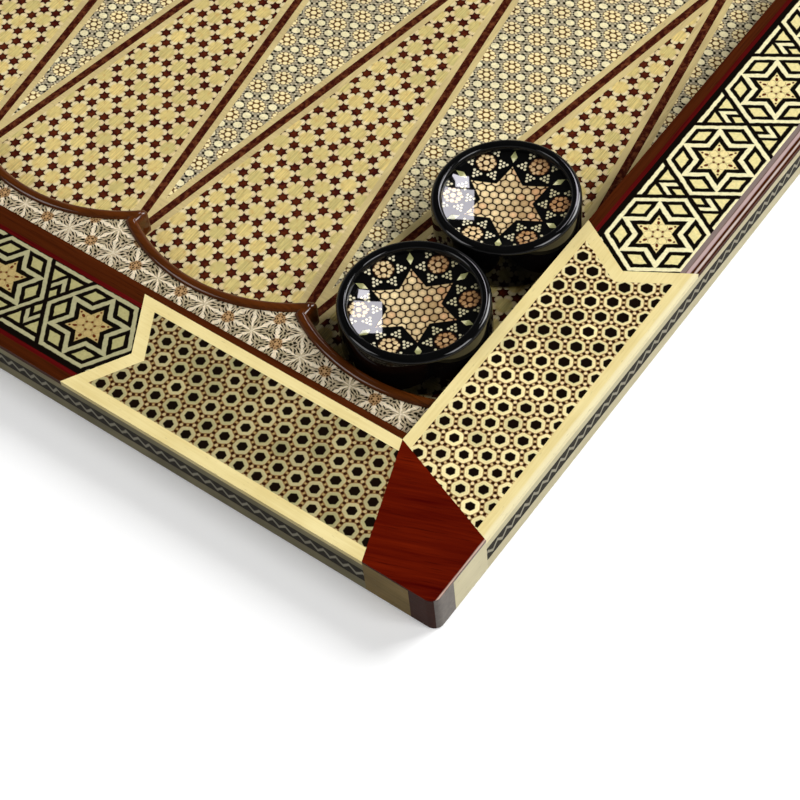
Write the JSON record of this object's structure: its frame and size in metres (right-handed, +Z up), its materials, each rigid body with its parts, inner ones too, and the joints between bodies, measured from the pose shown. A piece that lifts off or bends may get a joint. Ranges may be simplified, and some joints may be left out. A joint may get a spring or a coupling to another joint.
{
  "type": "folding backgammon board",
  "caption": "Folding backgammon board with khatam marquetry, scalloped ledges, brass hinges, hook clasp and checkers, lying open.",
  "frame": {"origin": "middle of the open board on the surface that it lies on, under the hinge line", "axes": "+X across the two halves, towards the half that holds the two checkers; +Y along the hinge line, away from them; +Z up"},
  "size_m": [0.5936, 0.588, 0.0136],
  "materials": {
    "panel_wood": "satin lacquer",
    "flower_khatam": "gloss lacquer",
    "star_khatam": "gloss lacquer",
    "bone": "gloss lacquer over camel bone",
    "side_bone": "gloss lacquer over camel bone",
    "mahogany": "gloss lacquer",
    "red_mahogany": "gloss lacquer",
    "moulding_wood": "gloss lacquer",
    "dotted_khatam": "gloss lacquer",
    "girih": "gloss lacquer",
    "red_strip": "gloss lacquer",
    "zigzag_band": "gloss lacquer",
    "ledge_khatam": "gloss lacquer",
    "brass": "polished",
    "black_lacquer": "high gloss lacquer",
    "checker_khatam": "gloss lacquer"
  },
  "bodies": {
    "right_half": {"bottom_panel_right": "panel_wood", "ground_marquetry_right": "flower_khatam", "point_marquetry_right": "star_khatam", "point_pale_lines_right": "bone", "point_dark_lines_right": "mahogany", "south_rail_right": "mahogany", "outer_rail_right": "mahogany", "north_rail_right": "mahogany", "hinge_rail_right": "mahogany", "corner_blocks_right": "red_mahogany", "dotted_panels_right": "dotted_khatam", "star_bands_right": "girih", "rim_bone_strips_right": "bone", "rim_red_strips_right": "red_strip", "rim_wood_strips_right": "mahogany", "side_bands_right": "zigzag_band", "side_bone_strips_right": "side_bone", "side_bone_plates_right": "bone", "south_ledge_right": "mahogany", "north_ledge_right": "mahogany", "ledge_marquetry_right": "ledge_khatam", "south_moulding_right": "moulding_wood", "north_moulding_right": "moulding_wood", "hinge_leaves_right": "brass", "hinge_pins": "brass", "hinge_screws_right": "brass", "clasp_screw": "brass"},
    "left_half": {"bottom_panel_left": "panel_wood", "ground_marquetry_left": "flower_khatam", "point_marquetry_left": "star_khatam", "point_pale_lines_left": "bone", "point_dark_lines_left": "mahogany", "south_rail_left": "mahogany", "outer_rail_left": "mahogany", "north_rail_left": "mahogany", "hinge_rail_left": "mahogany", "corner_blocks_left": "red_mahogany", "dotted_panels_left": "dotted_khatam", "star_bands_left": "girih", "rim_bone_strips_left": "bone", "rim_red_strips_left": "red_strip", "rim_wood_strips_left": "mahogany", "side_bands_left": "zigzag_band", "side_bone_strips_left": "side_bone", "side_bone_plates_left": "bone", "south_ledge_left": "mahogany", "north_ledge_left": "mahogany", "ledge_marquetry_left": "ledge_khatam", "south_moulding_left": "moulding_wood", "north_moulding_left": "moulding_wood", "hinge_leaves_left": "brass", "hinge_screws_left": "brass", "clasp_catch": "brass"},
    "hook": {"clasp_hook": "brass"},
    "checker_1": {"checker_1_body": "black_lacquer", "checker_1_inlay": "checker_khatam"},
    "checker_2": {"checker_2_body": "black_lacquer", "checker_2_inlay": "checker_khatam"}
  },
  "joints": [
    {"name": "fold", "type": "hinge", "parent": "right_half", "child": "left_half", "pos_m": [0, 0, 0.00985], "axis": [0, 1, 0], "range_deg": [0, 180]},
    {"name": "hook_turn", "type": "hinge", "parent": "right_half", "child": "hook", "pos_m": [0.2944, 0, 0.0048], "axis": [1, 0, 0], "range_deg": [0, 90]},
    {"name": "checker_1_lift", "type": "slide", "parent": "right_half", "child": "checker_1", "axis": [0, 0, 1], "range_m": [0, 0.0032]},
    {"name": "checker_2_slide", "type": "slide", "parent": "right_half", "child": "checker_2", "axis": [0, 1, 0], "range_m": [0, 0.4578]}
  ]
}
